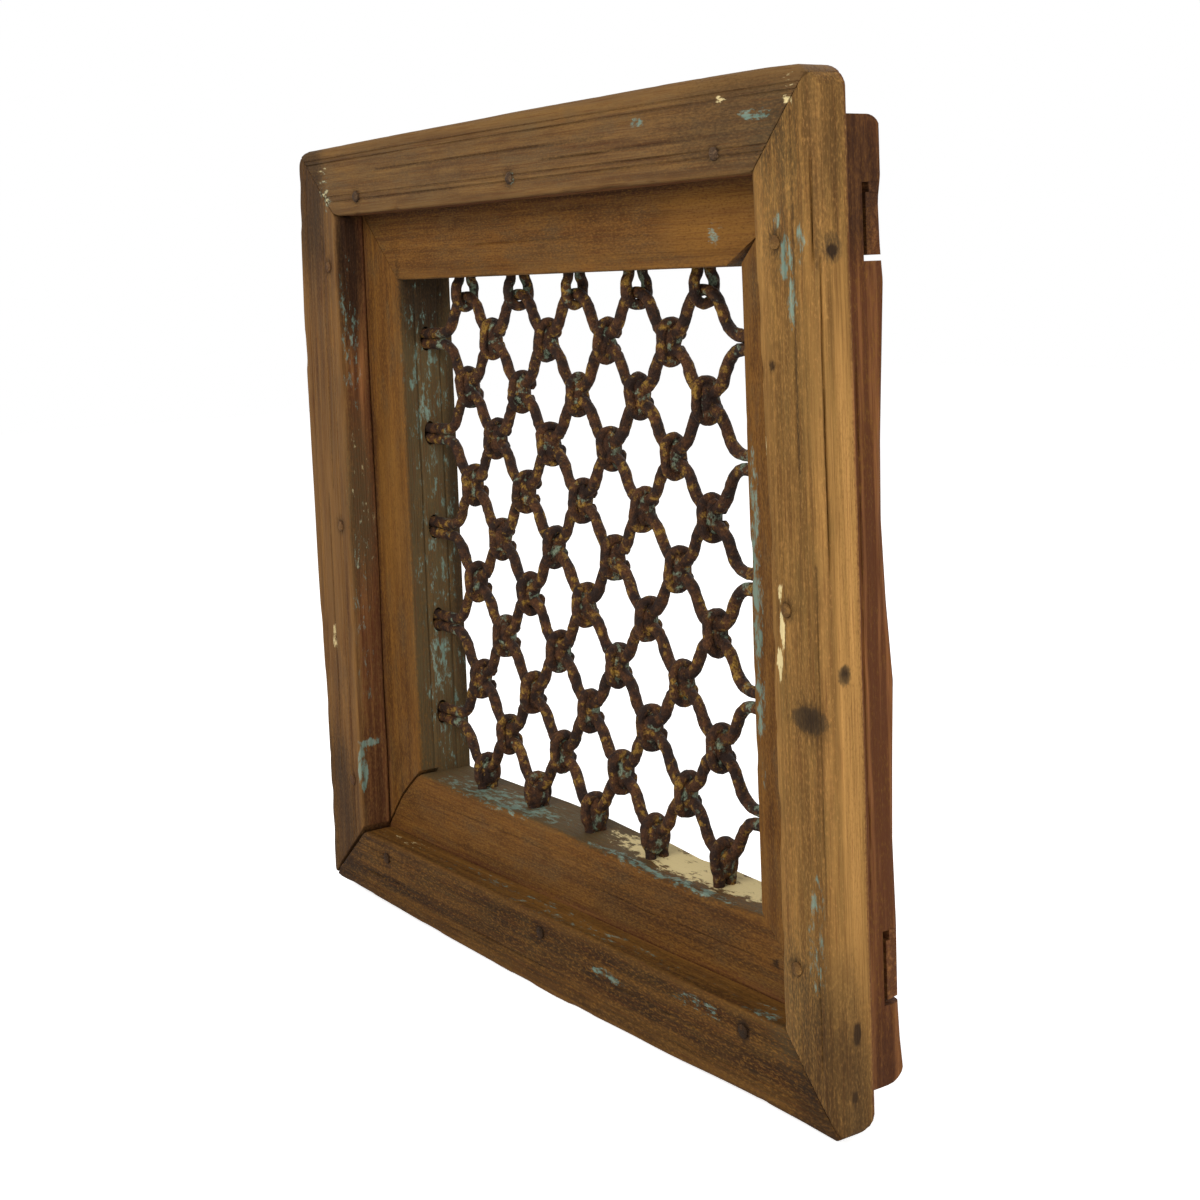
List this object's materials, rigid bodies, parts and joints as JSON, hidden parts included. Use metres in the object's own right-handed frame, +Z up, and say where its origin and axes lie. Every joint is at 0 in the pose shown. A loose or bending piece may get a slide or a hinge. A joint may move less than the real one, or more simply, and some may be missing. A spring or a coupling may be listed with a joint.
{
  "type": "jali window",
  "caption": "Fixed window of old wood: a deep box frame with a mitred architrave, filled by a lattice of wavy iron rods tied with iron rings; it lets air and light through a wall.",
  "frame": {"origin": "bottom edge of the architrave, in the middle of the window's width and depth", "axes": "+X to the right and +Z up as seen from the front, +Y from the front to the back"},
  "size_m": [0.66, 0.077, 0.624],
  "materials": {
    "frame_wood": "aged, worn, with paint remains",
    "architrave_wood": "aged, worn, with paint remains",
    "wedge_wood": "aged, split",
    "rod_iron": "forged, rusted",
    "link_iron": "forged, rusted, with paint remains",
    "nail_iron": "forged, rusted"
  },
  "bodies": {
    "root": {"head": "frame_wood", "sill": "frame_wood", "jamb_left": "frame_wood", "jamb_right": "frame_wood", "head_wedge_left": "wedge_wood", "head_wedge_right": "wedge_wood", "head_eye_1": "link_iron", "head_eye_2": "link_iron", "head_eye_3": "link_iron", "head_eye_4": "link_iron", "head_eye_5": "link_iron", "sill_wedge_left": "wedge_wood", "sill_wedge_right": "wedge_wood", "sill_eye_1": "link_iron", "sill_eye_2": "link_iron", "sill_eye_3": "link_iron", "sill_eye_4": "link_iron", "sill_eye_5": "link_iron", "architrave_bottom": "architrave_wood", "architrave_nails_bottom": "nail_iron", "architrave_right": "architrave_wood", "architrave_nails_right": "nail_iron", "architrave_top": "architrave_wood", "architrave_nails_top": "nail_iron", "architrave_left": "architrave_wood", "architrave_nails_left": "nail_iron", "wavy_rod_01": "rod_iron", "wavy_rod_02": "rod_iron", "wavy_rod_03": "rod_iron", "wavy_rod_04": "rod_iron", "wavy_rod_05": "rod_iron", "wavy_rod_06": "rod_iron", "wavy_rod_07": "rod_iron", "wavy_rod_08": "rod_iron", "wavy_rod_09": "rod_iron", "wavy_rod_10": "rod_iron", "ring_row_1": "link_iron", "ring_row_2": "link_iron", "ring_row_3": "link_iron", "ring_row_4": "link_iron", "ring_row_5": "link_iron", "ring_row_6": "link_iron", "ring_row_7": "link_iron", "ring_row_8": "link_iron", "ring_row_9": "link_iron"}
  },
  "joints": []
}
